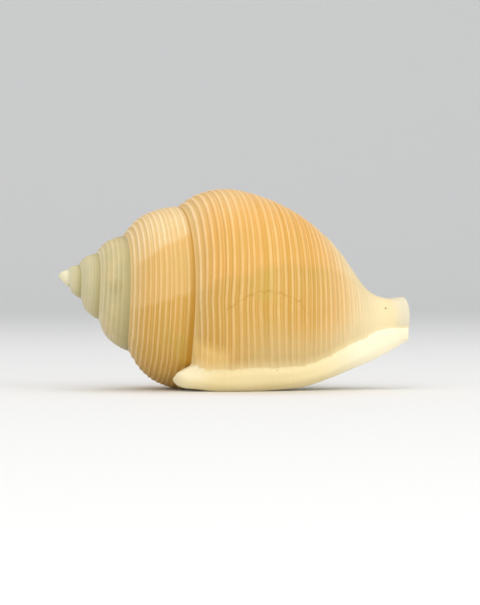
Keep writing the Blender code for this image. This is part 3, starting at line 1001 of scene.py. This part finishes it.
class ShellPaint(PropertyGroup):
    """Colours of the shell's zones and marks."""
    groove_ochre: colour_property("Groove, ochre", "Grooves just after a growth pause",
                                  (0.54, 0.297, 0.042))
    groove_orange: colour_property("Groove, orange", "Grooves on the upper last whorl",
                                   (0.69, 0.35, 0.065))
    groove_cream: colour_property("Groove, cream", "Grooves just before a growth pause",
                                  (0.72, 0.515, 0.225))
    cord_ochre: colour_property("Cord, ochre", "Cord tops just after a growth pause",
                                (0.735, 0.49, 0.18))
    cord_orange: colour_property("Cord, orange", "Cord tops on the upper last whorl",
                                 (0.86, 0.52, 0.19))
    cord_cream: colour_property("Cord, cream", "Cord tops just before a growth pause",
                                (0.90, 0.70, 0.41))
    fresh: colour_property("Fresh growth", "Light orange strip before the lip's upper end",
                           (0.95, 0.67, 0.26))
    spire_grey: colour_property("Spire grey", "Grey-green of the older whorls",
                                (0.47, 0.395, 0.18))
    spire_beige: colour_property("Spire beige", "Beige of the older whorls",
                                 (0.58, 0.44, 0.195))
    spire_pale: colour_property("Spire cords", "Cord tops of the older whorls",
                                (0.76, 0.66, 0.40))
    spire_old: colour_property("Spire, oldest", "Pale grey-green of the first whorls",
                               (0.58, 0.55, 0.35))
    # The colour of the painted shade at the older whorls' sutures, and also of the real smudge.
    spire_dark: colour_property("Spire shade", "Darker rim of the older whorls",
                                (0.40, 0.34, 0.15))
    tip: colour_property("Apex", "White of the worn apex", (0.76, 0.71, 0.49))
    # Dark line at the suture and along the healed crack, and painted shade in the suture's crease.
    seam: colour_property("Suture", "Orange-brown line beside the suture",
                          (0.47, 0.23, 0.012))
    near_lip: colour_property("Beside the lip", "Khaki shade beside the lip",
                              (0.69, 0.57, 0.29))
    moss: colour_property("Moss", "Faint green-yellow patches", (0.50, 0.38, 0.06))
    canal: colour_property("Canal", "Yellow cream of the canal", (0.83, 0.69, 0.40))
    canal_end: colour_property("Canal end", "Whiter end of the canal", (0.71, 0.65, 0.48))
    lip_yellow: colour_property("Lip, yellow", "Yellower cream of the lip",
                                (0.92, 0.77, 0.42))
    lip_white: colour_property("Lip, white", "Whiter cream of lip and shield",
                               (0.97, 0.89, 0.64))
    pinhole: colour_property("Pinholes", "Tiny worn holes", (0.30, 0.14, 0.05))
    hollow: colour_property("Hollow", "Deep inside the mouth", (0.68, 0.45, 0.22))


class StageSettings(PropertyGroup):
    """The floor's colour, the lights' power and the camera's lens."""
    floor: colour_property("Floor", "Colour of the plain floor", (0.82, 0.82, 0.81))
    key_power: FloatProperty(name="Key light", description="Power of the main soft light",
                             default=2.4, min=0.0, unit="POWER")
    sky: FloatProperty(name="Sky", description="Strength of the even light from all round",
                       default=0.68, min=0.0)
    lens: FloatProperty(name="Lens", description="Focal length in millimetres",
                        default=250.0, min=20.0, max=800.0, unit="CAMERA")


class SHELL_OT_body(Operator):
    """Build the ribbed shell with its lip, canal and hollow"""
    bl_idname = "shell.body"
    bl_label = "Shell"

    def execute(self, context):
        sizes, paint = context.scene.shell_sizes, context.scene.shell_paint
        surface = build_surface()
        facts = growth_facts(surface)
        mesh = bpy.data.meshes.new("shell skin")
        points = np.concatenate(surface.points) * MM
        mesh.from_pydata(points.tolist(), [], surface.faces)
        bm = bmesh.new()
        bm.from_mesh(mesh)
        bmesh.ops.recalc_face_normals(bm, faces=bm.faces)
        bm.to_mesh(mesh)
        bm.free()
        for name, values in facts.items():
            layer = mesh.attributes.new(name, "FLOAT", "POINT")
            layer.data.foreach_set("value", np.asarray(values, np.float32))
        material = shell_material(paint)
        mesh.materials.append(material)
        mesh.shade_smooth()
        obj = bpy.data.objects.new("ribbed_shell", mesh)
        context.collection.objects.link(obj)
        modifier = obj.modifiers.new("cords", "NODES")
        modifier.node_group = cord_tree()
        set_inputs(modifier, {"Cord height": sizes.cord_height,
                              "Growth ripple": sizes.growth_ripple, "Material": material})
        plain_mesh(obj, "ribbed shell")
        if len(obj.data.polygons) < 1000:
            raise RuntimeError("the shell came out empty")
        resting = np.zeros(len(obj.data.vertices) * 3)
        obj.data.vertices.foreach_get("co", resting)
        resting[2::3] = np.maximum(resting[2::3], 0.0)
        obj.data.vertices.foreach_set("co", resting)
        obj.data.shade_smooth()
        obj.data.update()
        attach(obj, "root")
        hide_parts("shell")
        return {"FINISHED"}


class SHELL_OT_stage(Operator):
    """Set up the pale floor, the soft lights and the camera"""
    bl_idname = "shell.stage"
    bl_label = "Stage"

    def execute(self, context):
        settings = context.scene.shell_stage
        low, high = (np.array(v) for v in CAD_BOX)
        middle = (low + high) / 2

        bm = bmesh.new()
        curve_from = FLOOR_BACK - FLOOR_CURVE
        line = [(-FLOOR_SIDE, 0.0), (curve_from, 0.0)]
        line += [(curve_from + FLOOR_CURVE * math.sin(a), FLOOR_CURVE * (1 - math.cos(a)))
                 for a in np.linspace(0, math.pi / 2, 13)[1:]]
        line += [(FLOOR_BACK, FLOOR_HIGH)]
        rows = [[bm.verts.new((x, y, z)) for y, z in line] for x in (-FLOOR_SIDE, FLOOR_SIDE)]
        for a, b, c, d in zip(rows[0], rows[0][1:], rows[1][1:], rows[1]):
            bm.faces.new((a, d, c, b))
        mesh = bpy.data.meshes.new("floor")
        bm.to_mesh(mesh)
        bm.free()
        mesh.shade_smooth()
        floor = bpy.data.objects.new("floor", mesh)
        context.collection.objects.link(floor)
        material, _, bsdf = new_material("floor paper")
        bsdf.inputs["Base Color"].default_value = (*settings.floor, 1.0)
        bsdf.inputs["Roughness"].default_value = 0.8
        mesh.materials.append(material)

        world = bpy.data.worlds.new("studio")
        world.use_nodes = True
        world.node_tree.nodes["Background"].inputs[0].default_value = SKY_COLOUR
        world.node_tree.nodes["Background"].inputs[1].default_value = settings.sky
        context.scene.world = world
        context.scene.view_settings.view_transform = "Standard"

        for name, position, size, share in LIGHTS:
            lamp = bpy.data.lights.new(name, "AREA")
            lamp.size = size
            lamp.energy = settings.key_power * share
            lamp.color = LIGHT_COLOUR
            holder = bpy.data.objects.new(name, lamp)
            holder.location = position
            aim = np.array(position) - middle
            holder.rotation_euler = (math.atan2(math.hypot(aim[0], aim[1]), aim[2]), 0,
                                     math.atan2(aim[0], -aim[1]))
            context.collection.objects.link(holder)

        camera = bpy.data.cameras.new("camera")
        camera.sensor_fit = "HORIZONTAL"
        camera.sensor_width = SENSOR_MM
        camera.lens = settings.lens
        camera.clip_start, camera.clip_end = 0.01, 20.0
        distance = PICTURE_WIDTH * settings.lens / SENSOR_MM
        azimuth, elevation = CAMERA_AZIMUTH, CAMERA_ELEVATION
        right = np.array([math.cos(azimuth), math.sin(azimuth), 0.0])
        away = np.array([math.sin(azimuth) * math.cos(elevation),
                         -math.cos(azimuth) * math.cos(elevation), math.sin(elevation)])
        target = middle + right * AIM_RIGHT + np.array([0, 0, AIM_UP])
        holder = bpy.data.objects.new("camera", camera)
        holder.location = target + away * distance
        holder.rotation_euler = (math.pi / 2 - elevation, 0, azimuth)
        context.collection.objects.link(holder)
        context.scene.camera = holder
        return {"FINISHED"}


class SHELL_PT_panel(Panel):
    """Sizes and colours, and a button for each operator"""
    bl_label = "Galeodea Shell"
    bl_idname = "SHELL_PT_panel"
    bl_space_type = "VIEW_3D"
    bl_region_type = "UI"
    bl_category = "Shell"

    def draw(self, context):
        layout = self.layout
        for settings in (context.scene.shell_sizes, context.scene.shell_paint,
                         context.scene.shell_stage):
            box = layout.box()
            for name in settings.__annotations__:
                box.prop(settings, name)
        for operator in OPERATORS:
            layout.operator(operator.bl_idname)


OPERATORS = (SHELL_OT_body, SHELL_OT_stage)
CLASSES = (ShellSizes, ShellPaint, StageSettings) + OPERATORS + (SHELL_PT_panel,)


def register():
    """Add the classes and the settings kept with each scene."""
    for cls in CLASSES:
        bpy.utils.register_class(cls)
    bpy.types.Scene.shell_sizes = PointerProperty(type=ShellSizes)
    bpy.types.Scene.shell_paint = PointerProperty(type=ShellPaint)
    bpy.types.Scene.shell_stage = PointerProperty(type=StageSettings)


def unregister():
    """Take the settings and the classes away again."""
    del bpy.types.Scene.shell_sizes, bpy.types.Scene.shell_paint, bpy.types.Scene.shell_stage
    for cls in reversed(CLASSES):
        bpy.utils.unregister_class(cls)


def main():
    """Build the shell and its stage."""
    register()
    bpy.ops.shell.body()
    bpy.ops.shell.stage()


if __name__ == "__main__":
    main()
